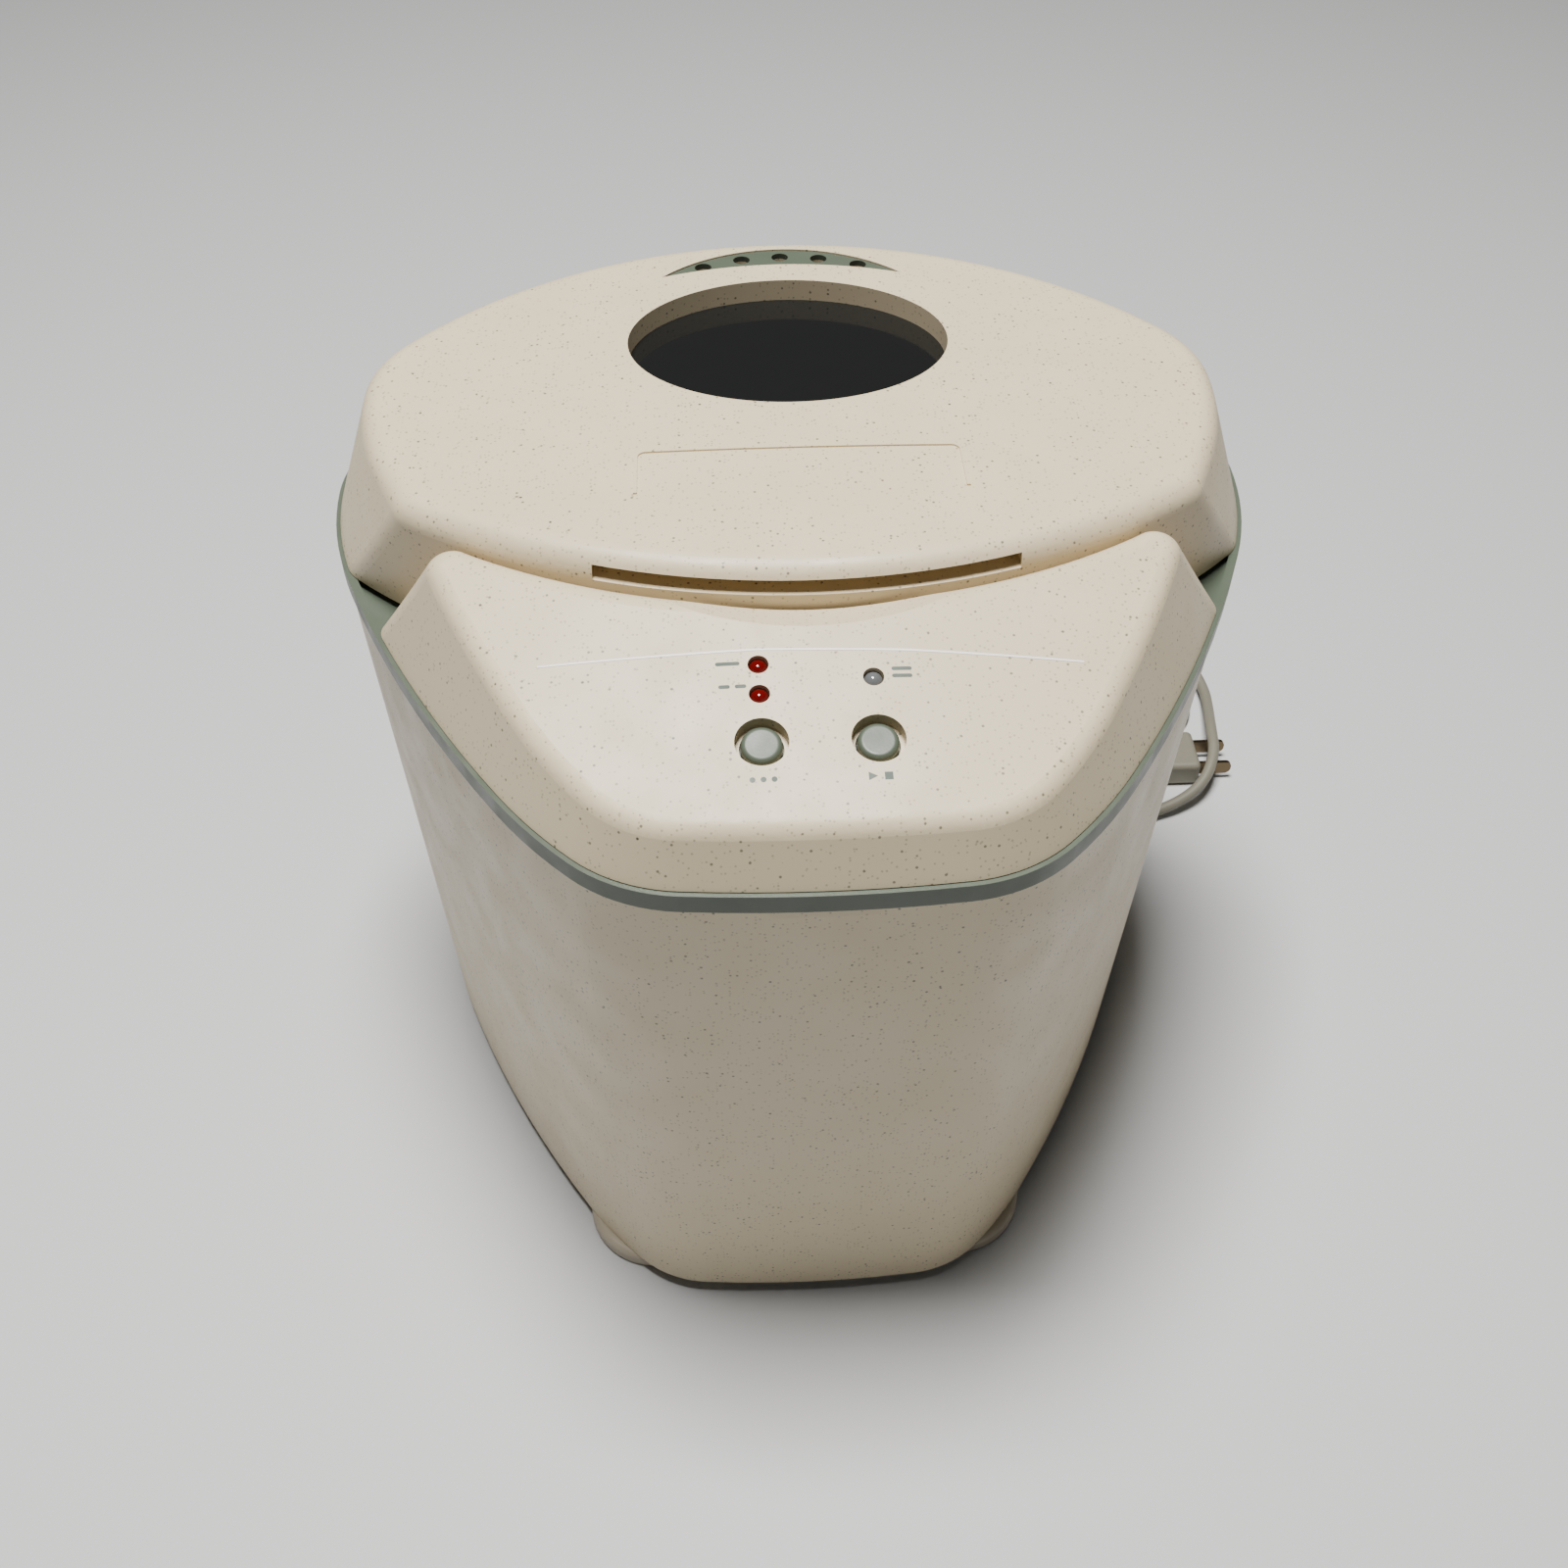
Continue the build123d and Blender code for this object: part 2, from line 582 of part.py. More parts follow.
def make_led(x, distance):
    """Round lamp with a domed end and two legs down to the board."""
    body = sloped(LED_RADIUS, -8.6, -2.6, x, distance)
    tip = panel_place(x, distance, -2.6) * Sphere(LED_RADIUS)
    collar = sloped(LED_RADIUS + 0.4, -9.4, -8.2, x, distance)
    lamp = body + tip + collar
    for side in (-1, 1):
        lamp = lamp + sloped(0.3, -BOARD_DROP, -9.0, x + side * 1.27, distance)
    return lamp


def make_control_board():
    centre = panel_place(0.0, BOARD_S, -BOARD_DROP - BOARD_THICK / 2)
    board = centre * Box(BOARD_WIDTH, BOARD_LENGTH, BOARD_THICK)
    for x, distance in board_posts():
        board = board - sloped(1.3, -BOARD_DROP - 3.0, -BOARD_DROP + 1.0, x, distance)
    chip = panel_place(0.0, 46.0, -BOARD_DROP + 1.5) * Box(14.0, 20.0, 3.0)
    return board + chip


def make_switches():
    """Two small push switches under the button stems."""
    switches = []
    for x in (-BUTTON_X, BUTTON_X):
        case = panel_place(x, BUTTON_S, -BOARD_DROP + 1.25) * Box(6.0, 6.0, 2.5)
        plunger = sloped(1.5, -BOARD_DROP + 2.0, -BOARD_DROP + 3.5, x, BUTTON_S)
        switches.append(case + plunger)
    return switches


def make_board_screws():
    screws = []
    for x, distance in board_posts():
        head = sloped(2.4, -BOARD_DROP - 3.1, -BOARD_DROP - 1.6, x, distance)
        shank = sloped(1.1, -BOARD_DROP - 2.0, -BOARD_DROP + 6.0, x, distance)
        screws.append(head + shank)
    return screws


# ---------------------------------------------------------------- oven chamber
def make_chamber():
    """Round sheet-metal oven with a flange that rests on the deck."""
    can = upright(CHAMBER_RADIUS, CHAMBER_FLOOR, DECK_TOP + SHEET, 0.0, CHAMBER_S)
    can = can - upright(CHAMBER_RADIUS - SHEET, CHAMBER_FLOOR + SHEET, 300.0, 0.0, CHAMBER_S)
    flange = upright(CHAMBER_RADIUS + 4.0, DECK_TOP, DECK_TOP + SHEET, 0.0, CHAMBER_S)
    flange = flange - upright(CHAMBER_RADIUS - SHEET, 0.0, 300.0, 0.0, CHAMBER_S)
    can = can + flange - upright(14.0, 0.0, 100.0, 0.0, CHAMBER_S)
    front = y_of(CHAMBER_S - CHAMBER_RADIUS)
    for x in (-TERMINAL_X, TERMINAL_X):
        can = can - Pos(x, front, ELEMENT_Z) * Rot(90, 0, 0) * Cylinder(5.0, 30.0)
    return can - Pos(SENSOR_X, front, SENSOR_Z) * Rot(90, 0, 0) * Cylinder(3.0, 60.0)


def make_heating_element():
    """Ring heater round the foot of the pan, with two legs out through the front wall."""
    centre = (0, y_of(CHAMBER_S), ELEMENT_Z)
    half_gap = math.degrees(math.asin(TERMINAL_X / ELEMENT_RADIUS))
    ring_plane = Plane(origin=centre, x_dir=(1, 0, 0), z_dir=(0, 0, 1))
    path = ring_plane * CenterArc((0, 0), ELEMENT_RADIUS, -90.0 + half_gap, 360.0 - 2 * half_gap)
    section = Plane(origin=path @ 0, z_dir=path % 0) * Circle(ELEMENT_WIRE)
    element = sweep(section, path=path)
    inner_y = y_of(CHAMBER_S - ELEMENT_RADIUS * math.cos(math.radians(half_gap)))
    for x in (-TERMINAL_X, TERMINAL_X):
        leg = Pos(x, inner_y, ELEMENT_Z) * Rot(90, 0, 0)
        leg = leg * Cylinder(ELEMENT_WIRE, TERMINAL_LENGTH, align=(Align.CENTER, Align.CENTER, Align.MIN))
        element = element + leg + Pos(x, inner_y, ELEMENT_Z) * Sphere(ELEMENT_WIRE)
    return element


def make_element_bushes():
    """Ceramic bushes where the heater legs pass through the wall."""
    bushes = []
    front = y_of(CHAMBER_S - math.sqrt(CHAMBER_RADIUS**2 - TERMINAL_X**2))
    for x in (-TERMINAL_X, TERMINAL_X):
        place = Pos(x, front, ELEMENT_Z) * Rot(90, 0, 0)
        bush = place * Cylinder(4.9, 6.0) + place * Pos(0, 0, 4.0) * Cylinder(7.0, 3.0)
        bushes.append(bush - place * Cylinder(ELEMENT_WIRE + 0.05, 30.0))
    return bushes


def make_temperature_sensor():
    wall_y = y_of(CHAMBER_S - math.sqrt(CHAMBER_RADIUS**2 - SENSOR_X**2))
    place = Pos(SENSOR_X, wall_y, SENSOR_Z) * Rot(90, 0, 0)
    probe = place * Cylinder(2.95, 22.0)
    nut = place * Pos(0, 0, 7.5) * extrude(RegularPolygon(5.0, 6), amount=3.0)
    return probe + nut


def make_pan_socket():
    """Ring on the chamber floor that locates the foot of the pan."""
    low = CHAMBER_FLOOR + SHEET
    bore = upright(FOOT_RING_RADIUS + 1.0, 0.0, 200.0, 0.0, CHAMBER_S)
    ring = upright(FOOT_RING_RADIUS + 4.0, low, low + 12.0, 0.0, CHAMBER_S)
    foot = upright(FOOT_RING_RADIUS + 8.0, low, low + 1.5, 0.0, CHAMBER_S)
    return ring + foot - bore


# ---------------------------------------------------------------- bread pan
def make_bread_pan():
    """Round pan with a rolled rim, two ears for the handle and a foot ring."""
    pan = upright(PAN_RADIUS, PAN_FLOOR, PAN_TOP, 0.0, CHAMBER_S)
    pan = fillet(pan.edges().group_by(Axis.Z)[0], 8.0)
    inside = upright(PAN_RADIUS - PAN_WALL, PAN_FLOOR + PAN_WALL, PAN_TOP + 1.0, 0.0, CHAMBER_S)
    inside = fillet(inside.edges().group_by(Axis.Z)[0], 6.5)
    rim = upright(PAN_RADIUS + PAN_RIM, PAN_TOP - PAN_RIM, PAN_TOP, 0.0, CHAMBER_S)
    rim = rim - upright(PAN_RADIUS - 1.0, 0.0, 300.0, 0.0, CHAMBER_S)
    rim = fillet(rim.edges().filter_by(GeomType.CIRCLE).sort_by(SortBy.RADIUS)[-2:], 1.2)
    foot = upright(FOOT_RING_RADIUS, PAN_FLOOR - 15.0, PAN_FLOOR + 1.0, 0.0, CHAMBER_S)
    foot = foot - upright(FOOT_RING_RADIUS - 2.0, 0.0, PAN_FLOOR, 0.0, CHAMBER_S)
    pan = pan + rim + foot - inside
    for side in (-1, 1):
        ear = block(2.0, 12.0, BAIL_Z - PAN_TOP + 8.0, side * 61.5, CHAMBER_S, PAN_TOP - 3.0)
        pan = pan + ear
    bore = Pos(0, y_of(CHAMBER_S), BAIL_Z) * Rot(0, 90, 0) * Cylinder(BAIL_WIRE + RUNNING_GAP, 140.0)
    return pan - bore - upright(8.0, 0.0, PAN_FLOOR + 5.0, 0.0, CHAMBER_S)


def make_pan_handle():
    """Wire bail, folded down towards the front."""
    centre = (0, y_of(CHAMBER_S), BAIL_Z)
    ring_plane = Plane(origin=centre, x_dir=(1, 0, 0), z_dir=(0, 0, 1))
    path = ring_plane * CenterArc((0, 0), BAIL_RADIUS, 180.0, 180.0)
    section = Plane(origin=path @ 0, z_dir=path % 0) * Circle(BAIL_WIRE)
    bail = sweep(section, path=path)
    for side in (-1, 1):
        stub = Pos(side * (BAIL_RADIUS - 4.0), y_of(CHAMBER_S), BAIL_Z) * Rot(0, 90, 0)
        bail = bail + stub * Cylinder(BAIL_WIRE, 8.0)
        bail = bail + Pos(side * BAIL_RADIUS, y_of(CHAMBER_S), BAIL_Z) * Sphere(BAIL_WIRE)
    return bail


def make_pan_bush():
    bush = upright(8.0, PAN_FLOOR - 1.5, PAN_FLOOR + 4.0, 0.0, CHAMBER_S)
    return bush - upright(SHAFT_RADIUS + RUNNING_GAP, 0.0, 200.0, 0.0, CHAMBER_S)


def make_shaft_seal():
    seal = upright(7.0, PAN_FLOOR + 4.0, PAN_FLOOR + 6.0, 0.0, CHAMBER_S)
    return seal - upright(SHAFT_RADIUS + RUNNING_GAP, 0.0, 200.0, 0.0, CHAMBER_S)


def make_pan_shaft():
    """Shaft through the pan floor, with a disc and two pegs that meet the drive dog."""
    shaft = upright(SHAFT_RADIUS, PAN_FLOOR - 4.0, PAN_FLOOR + 22.0, 0.0, CHAMBER_S)
    disc = upright(12.0, PAN_FLOOR - 5.0, PAN_FLOOR - 2.0, 0.0, CHAMBER_S)
    shaft = shaft + disc
    for side in (-1, 1):
        shaft = shaft + upright(2.2, PAN_FLOOR - 13.0, PAN_FLOOR - 4.0, 0.0, CHAMBER_S + side * 8.5)
    return shaft


def make_kneading_paddle():
    """Hub with one swept blade."""
    low = PAN_FLOOR + 6.5
    hub = upright(HUB_RADIUS, low, low + 18.0, 0.0, CHAMBER_S)
    hub = fillet(hub.edges().group_by(Axis.Z)[-1], 2.5)
    outline = Plane(origin=(0, y_of(CHAMBER_S) - 1.5, low), x_dir=(1, 0, 0), z_dir=(0, -1, 0))
    profile = Polyline((4.0, 0.5), (40.0, 0.5), (36.0, 16.0), (26.0, 27.0), (4.0, 16.0), close=True)
    blade = extrude(outline * make_face(profile), amount=-3.0)
    paddle = hub + blade
    return paddle - upright(SHAFT_RADIUS, 0.0, PAN_FLOOR + 22.0, 0.0, CHAMBER_S)


# ---------------------------------------------------------------- drive
def make_drive_shaft():
    return upright(SHAFT_RADIUS, PULLEY_LOW - 3.0, PAN_FLOOR - 8.0, 0.0, CHAMBER_S)


def make_drive_dog():
    """Cross-bar coupling on top of the drive shaft, between the pan shaft's pegs."""
    low = PAN_FLOOR - 14.0
    hub = upright(5.8, low, low + 7.5, 0.0, CHAMBER_S)
    bar = block(22.0, 5.0, 6.5, 0.0, CHAMBER_S, low)
    return hub + bar - upright(SHAFT_RADIUS, 0.0, PAN_FLOOR - 8.0, 0.0, CHAMBER_S)


def make_drive_pulley():
    """Large spoked pulley with a shallow belt groove."""
    high = PULLEY_LOW + PULLEY_HEIGHT
    wheel = upright(PULLEY_RADIUS + 1.5, PULLEY_LOW, high, 0.0, CHAMBER_S)
    groove = upright(PULLEY_RADIUS + 4.0, PULLEY_LOW + 1.2, high - 1.2, 0.0, CHAMBER_S)
    groove = groove - upright(PULLEY_RADIUS, 0.0, 100.0, 0.0, CHAMBER_S)
    wheel = wheel - groove
    for index in range(SPOKE_COUNT):
        angle = math.radians(90.0 + index * 360.0 / SPOKE_COUNT)
        x = 24.0 * math.cos(angle)
        wheel = wheel - upright(9.5, 0.0, 100.0, x, CHAMBER_S + 24.0 * math.sin(angle))
    return wheel - upright(SHAFT_RADIUS, 0.0, 100.0, 0.0, CHAMBER_S)


def make_motor_pinion():
    high = PULLEY_LOW + PULLEY_HEIGHT
    wheel = upright(PINION_RADIUS + 1.5, PULLEY_LOW, high, 0.0, MOTOR_S)
    groove = upright(PINION_RADIUS + 4.0, PULLEY_LOW + 1.2, high - 1.2, 0.0, MOTOR_S)
    groove = groove - upright(PINION_RADIUS, 0.0, 100.0, 0.0, MOTOR_S)
    return wheel - groove - upright(MOTOR_SHAFT_RADIUS, 0.0, 100.0, 0.0, MOTOR_S)


def belt_loop(extra, low, high):
    """Solid tangent loop round both pulleys, standing off their grooves by extra."""
    large = PULLEY_RADIUS + extra
    small = PINION_RADIUS + extra
    distance = CHAMBER_S - MOTOR_S
    lean = math.asin((large - small) / distance)
    corners = []
    for side in (1, -1):
        x = math.cos(lean) * side
        s = math.sin(lean)
        corners.append((small * x, y_of(MOTOR_S - small * s)))
        corners.append((large * x, y_of(CHAMBER_S - large * s)))
    order = [corners[0], corners[1], corners[3], corners[2]]
    face = make_face(Polyline(*order, close=True))
    loop = extrude(Pos(0, 0, low) * face, amount=high - low)
    loop = loop + upright(large, low, high, 0.0, CHAMBER_S)
    return loop + upright(small, low, high, 0.0, MOTOR_S)


def make_drive_belt():
    low = PULLEY_LOW + (PULLEY_HEIGHT - BELT_WIDTH) / 2
    outer = belt_loop(BELT_CLEAR + BELT_THICK, low, low + BELT_WIDTH)
    return outer - belt_loop(BELT_CLEAR, low - 1.0, low + BELT_WIDTH + 1.0)


def make_chassis_plate():
    """Pressed steel plate that carries the chamber, the bearing and the motor."""
    inset = HOUSING_INSET + HOUSING_DRAFT + WALL + 6.0
    plate = extrude(plan_face(inset, CHASSIS_Z), amount=CHASSIS_THICK)
    plate = plate - upright(6.0, 0.0, 100.0, 0.0, CHAMBER_S) - upright(12.0, 0.0, 100.0, 0.0, MOTOR_S)
    for x, distance in both_sides(CHASSIS_POSTS):
        plate = plate - upright(1.8, 0.0, 100.0, x, distance)
    top = CHASSIS_Z + CHASSIS_THICK
    for angle in (30.0, 150.0, 270.0):
        x = 62.0 * math.cos(math.radians(angle))
        distance = CHAMBER_S + 62.0 * math.sin(math.radians(angle))
        plate = plate + upright(5.0, top - 0.5, CHAMBER_FLOOR, x, distance)
    return plate


def make_chassis_screws():
    screws = []
    top = CHASSIS_Z + CHASSIS_THICK
    for x, distance in both_sides(CHASSIS_POSTS):
        screws.append(upright(3.5, top, top + 2.0, x, distance) + upright(1.6, 30.0, top + 1.0, x, distance))
    return screws


def make_bearing_block():
    low = CHASSIS_Z + CHASSIS_THICK
    bearing = upright(13.0, low, CHAMBER_FLOOR - 0.5, 0.0, CHAMBER_S)
    bearing = bearing + upright(20.0, low, low + 3.0, 0.0, CHAMBER_S)
    return bearing - upright(SHAFT_RADIUS + RUNNING_GAP, 0.0, 100.0, 0.0, CHAMBER_S)


def make_motor_case():
    """Motor housing with two end walls that carry the shaft."""
    case = upright(MOTOR_RADIUS, MOTOR_LOW, MOTOR_TOP, 0.0, MOTOR_S)
    case = fillet(case.edges().group_by(Axis.Z)[-1], 4.0)
    case = case - upright(MOTOR_RADIUS - 5.0, MOTOR_LOW + 5.0, MOTOR_TOP - 5.0, 0.0, MOTOR_S)
    return case - upright(MOTOR_SHAFT_RADIUS + RUNNING_GAP, 0.0, 300.0, 0.0, MOTOR_S)


def make_motor_rotor():
    core = upright(MOTOR_RADIUS - 6.0, MOTOR_LOW + 14.0, MOTOR_TOP - 14.0, 0.0, MOTOR_S)
    return core - upright(MOTOR_SHAFT_RADIUS, 0.0, 300.0, 0.0, MOTOR_S)


def make_motor_shaft():
    return upright(MOTOR_SHAFT_RADIUS, PULLEY_LOW - 1.0, MOTOR_TOP + 12.0, 0.0, MOTOR_S)


def make_cooling_fan():
    """Seven-bladed fan on top of the motor."""
    low = MOTOR_TOP + 2.5
    fan = upright(7.0, low, low + 8.0, 0.0, MOTOR_S)
    for index in range(FAN_BLADES):
        turn = index * 360.0 / FAN_BLADES
        blade = Pos(0, y_of(MOTOR_S), low + 4.0) * Rot(0, 0, turn) * Pos(15.0, 0, 0)
        fan = fan + blade * Rot(28, 0, 0) * Box(18.0, 10.0, 1.2)
    return fan - upright(MOTOR_SHAFT_RADIUS, 0.0, 300.0, 0.0, MOTOR_S)


def make_power_board():
    """Upright mains board beside the motor, with transformer, relay and capacitor."""
    x = -54.0
    distance = 66.0
    board = block(1.6, 40.0, 56.0, x, distance, MOTOR_LOW)
    transformer = block(20.0, 24.0, 22.0, x + 10.8, distance + 4.0, MOTOR_LOW + 30.0)
    relay = block(10.0, 20.0, 16.0, x + 5.8, distance + 4.0, MOTOR_LOW + 6.0)
    capacitor = Pos(x + 0.5, y_of(distance - 13.0), MOTOR_LOW + 18.0) * Rot(0, 90, 0)
    capacitor = capacitor * Cylinder(5.0, 18.0, align=(Align.CENTER, Align.CENTER, Align.MIN))
    return board + transformer + relay + capacitor


# ---------------------------------------------------------------- mains cord
def make_cord_gland():
    """Strain relief: neck through the wall, flange and tapered sleeve."""
    inner = gland_place(-2.0) * Cylinder(5.0, 8.0)
    lock = gland_place(-WALL - 2.4) * Cylinder(7.0, 2.0)
    flange = gland_place(GLAND_FLANGE / 2 + 0.6) * Cylinder(7.5, GLAND_FLANGE)
    start = GLAND_FLANGE + 0.5
    length = GLAND_LENGTH - start
    sleeve = gland_place(start + length / 2) * Cone(6.0, CORD_RADIUS + 0.8, length)
    return inner + lock + flange + sleeve


def floor_point(x, distance, z=CORD_Z):
    return Vector(x, y_of(distance), z)


def cord_start():
    return gland_place(GLAND_LENGTH).position


def lead_route():
    """From the strain relief down to the coil."""
    start = cord_start()
    outward = (gland_place(1.0).position - gland_place(0.0).position).normalized()
    return [
        start,
        start + outward * 16.0,
        floor_point(88.2, 290.0, 21.5),
        floor_point(98.5, 305.5, 10.5),
        floor_point(106.5, 322.5, 3.2),
        floor_point(114.0, 338.6),
    ]


def tail_route():
    """From the coil, over itself once and round a loose loop, to the plug."""
    return [
        floor_point(171.5, 325.0),
        floor_point(173.0, 311.0),
        floor_point(179.5, 297.0),
        floor_point(184.5, 281.5),
        floor_point(179.0, 266.5),
        floor_point(165.0, 258.5),
        floor_point(148.0, 260.5),
        floor_point(136.5, 272.5),
        floor_point(133.5, 289.0, 2.9),
        floor_point(140.5, 304.5, 5.2),
        floor_point(157.0, 314.0, 8.8),
        floor_point(177.0, 314.5, 8.8),
        floor_point(190.0, 303.0, 6.0),
        floor_point(193.5, 287.0, 4.5),
        floor_point(191.0, 271.0, 7.5),
        floor_point(187.5, 255.5, 12.6),
        floor_point(185.5, 238.5, 12.6),
        floor_point(178.0, 224.5, 8.5),
        floor_point(164.0, 216.5, 4.6),
        floor_point(147.0, 212.5, 2.9),
        floor_point(131.1, 203.8),
        floor_point(116.0, 204.4),
        floor_point(104.2, 214.1),
        floor_point(101.4, 229.1, 2.8),
        floor_point(109.1, 242.8, 3.2),
        floor_point(125.0, 248.5, 4.6),
        floor_point(139.5, 247.5, 5.6),
        floor_point(PLUG_X, PLUG_S, PLUG_Z),
    ]


def route_radii(points):
    """Corner radii: 0.45 of the shorter run over the tangent of half the turn."""
    radii = []
    for before, corner, after in zip(points, points[1:], points[2:]):
        first = corner - before
        second = after - corner
        half_turn = math.radians(first.get_angle(second)) / 2
        radii.append(0.45 * min(first.length, second.length) / math.tan(half_turn))
    return radii


def make_cord_tube(points):
    radii = route_radii(points)
    line = FilletPolyline(*points, radius=radii)
    section = Plane(origin=line @ 0, z_dir=line % 0) * Circle(CORD_RADIUS)
    tube = sweep(section, path=line)
    print("cord radii", [round(radius, 1) for radius in radii])
    expected = line.length * math.pi * CORD_RADIUS**2
    print("cord length", round(line.length, 1), "volume ratio", round(tube.volume / expected, 4))
    return tube


def make_cord_coil():
    outer = upright(COIL_OUTER, 0.2, COIL_HEIGHT, COIL_X, COIL_S)
    return outer - upright(COIL_INNER, 0.0, 40.0, COIL_X, COIL_S)


def make_plug_body():
    """Flat moulded two-pin plug lying on its broad side."""
    grip = Pos(PLUG_X, y_of(PLUG_S), PLUG_Z) * Rot(0, 90, 0)
    neck = grip * Cone(CORD_RADIUS + 0.9, 5.2, 10.0, align=(Align.CENTER, Align.CENTER, Align.MIN))
    body = Pos(PLUG_X + 8.0 + PLUG_LENGTH / 2 - 4.0, y_of(PLUG_S), PLUG_THICK / 2 + 0.2)
    body = body * Box(PLUG_LENGTH - 8.0, PLUG_WIDTH, PLUG_THICK)
    body = fillet(body.edges(), 2.4) + neck
    for blade in make_plug_blades():
        body = body - blade
    return body


def make_plug_blades():
    blades = []
    for side in (-1, 1):
        x = PLUG_X + PLUG_LENGTH - BLADE_ROOT + BLADE_LENGTH / 2
        place = Pos(x, y_of(PLUG_S + side * BLADE_SPACING / 2), PLUG_Z)
        blade = place * Box(BLADE_LENGTH, BLADE_THICK, BLADE_WIDTH)
        blades.append(fillet(blade.edges().filter_by(Axis.Y).sort_by(Axis.X)[-2:], 2.6))
    return blades


# ---------------------------------------------------------------- write the parts
def write(node, shape):
    if isinstance(shape, list):
        shape = Compound(children=[item.solids()[0] if len(item.solids()) == 1 else item for item in shape])
    export_step(shape, f"parts/{node}.step")


def main():
    os.makedirs("parts", exist_ok=True)
    write("housing", make_housing())
    write("base_pan", make_base_pan())
    write("foot_pads", make_foot_pads())
    write("collar", make_collar())
    write("control_panel", make_control_panel())
    write("select_button", make_button(-BUTTON_X))
    write("start_button", make_button(BUTTON_X))
    write("mode_leds", [make_led(x, distance) for x, distance in led_places()[:2]])
    write("status_led", make_led(*led_places()[2]))
    write("control_board", make_control_board())
    write("push_switches", make_switches())
    write("board_screws", make_board_screws())
    write("lid_shell", make_lid_shell())
    write("lid_liner", make_lid_liner())
    write("lid_screws", make_lid_screws())
    write("window_glass", make_window_glass())
    write("window_gasket", make_window_gasket())
    write("vent_insert", make_vent_insert())
    write("hinge_pin", make_hinge_pin())
    write("oven_chamber", make_chamber())
    write("heating_element", make_heating_element())
    write("element_bushes", make_element_bushes())
    write("temperature_sensor", make_temperature_sensor())
    write("pan_socket", make_pan_socket())
    write("bread_pan", make_bread_pan())
    write("pan_handle", make_pan_handle())
    write("pan_bush", make_pan_bush())
    write("shaft_seal", make_shaft_seal())
    write("pan_shaft", make_pan_shaft())
    write("kneading_paddle", make_kneading_paddle())
    write("drive_shaft", make_drive_shaft())
    write("drive_dog", make_drive_dog())
    write("drive_pulley", make_drive_pulley())
    write("motor_pinion", make_motor_pinion())
    write("drive_belt", make_drive_belt())
    write("chassis_plate", make_chassis_plate())
    write("chassis_screws", make_chassis_screws())
    write("bearing_block", make_bearing_block())
    write("motor_case", make_motor_case())
    write("motor_rotor", make_motor_rotor())
    write("motor_shaft", make_motor_shaft())
    write("cooling_fan", make_cooling_fan())
    write("power_board", make_power_board())
    write("cord_gland", make_cord_gland())
    write("cord_lead", make_cord_tube(lead_route()))
    write("cord_coil", make_cord_coil())
    write("cord_tail", make_cord_tube(tail_route()))
    write("plug_body", make_plug_body())
    write("plug_blades", make_plug_blades())


if __name__ == "__main__":
    main()
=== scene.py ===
import bpy
import json
import math
from mathutils import Matrix, Vector
from mathutils.bvhtree import BVHTree


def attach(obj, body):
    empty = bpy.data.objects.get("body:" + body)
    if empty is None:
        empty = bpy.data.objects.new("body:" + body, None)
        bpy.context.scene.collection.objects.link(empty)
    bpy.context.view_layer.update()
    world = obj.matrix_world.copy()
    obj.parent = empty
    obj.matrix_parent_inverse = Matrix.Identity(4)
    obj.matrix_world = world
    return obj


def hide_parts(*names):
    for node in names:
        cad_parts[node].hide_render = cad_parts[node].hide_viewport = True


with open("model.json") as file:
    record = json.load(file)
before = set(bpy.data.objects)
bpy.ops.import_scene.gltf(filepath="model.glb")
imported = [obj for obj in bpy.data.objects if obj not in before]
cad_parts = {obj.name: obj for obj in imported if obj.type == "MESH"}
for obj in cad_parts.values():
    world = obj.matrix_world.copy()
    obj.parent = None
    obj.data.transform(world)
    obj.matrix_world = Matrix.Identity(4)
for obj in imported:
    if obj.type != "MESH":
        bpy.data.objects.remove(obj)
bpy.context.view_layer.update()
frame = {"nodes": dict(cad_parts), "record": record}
NODES = frame["nodes"]

# ---------------------------------------------------------------- measures (m, degrees)
BODY_DEPTH = 0.257168
CAMERA_PLACE = (-0.0240, -0.3821, 0.5084)
CAMERA_LENS = 38.25
CAMERA_DOWN = 45.73
CAMERA_HEADING = 3.1
CAMERA_ROLL = -0.3

CORD_DIAMETER = 0.0047
CORD_FLOOR = 0.0026
COIL_X, COIL_S = 0.139, 0.325
COIL_START_ANGLE = 151.5
COIL_TURNS = 2.42
COIL_RADII = (0.0229, 0.0277, 0.0325)
COIL_ENTRY_RADIUS = 0.0285
POINTS_PER_TURN = 16

COIL_ENTRY_TURNS = 0.12
COIL_SHIFTS = ((0.85, 1.15), (1.85, 2.15))
COIL_HUMPS = ((0.0052, 0.80, 0.93, 1.12, 1.25), (0.0060, 1.72, 1.85, 2.03, 2.18))

RAY_START_HEIGHT = 0.30
PRINT_LIFT = 0.00005
RULE_LIFT = 0.0001
RULE_STEPS = 90
RING_POINTS = 20
MARK_DEPTH = 0.0010

FLOOR_HALF = 3.0
WORLD_COLOR = (1.0, 0.985, 0.96, 1.0)
WORLD_STRENGTH = 0.05


def place(x, distance, z):
    """Point at x, a distance behind the nose and height z."""
    return Vector((x, distance - BODY_DEPTH / 2, z))


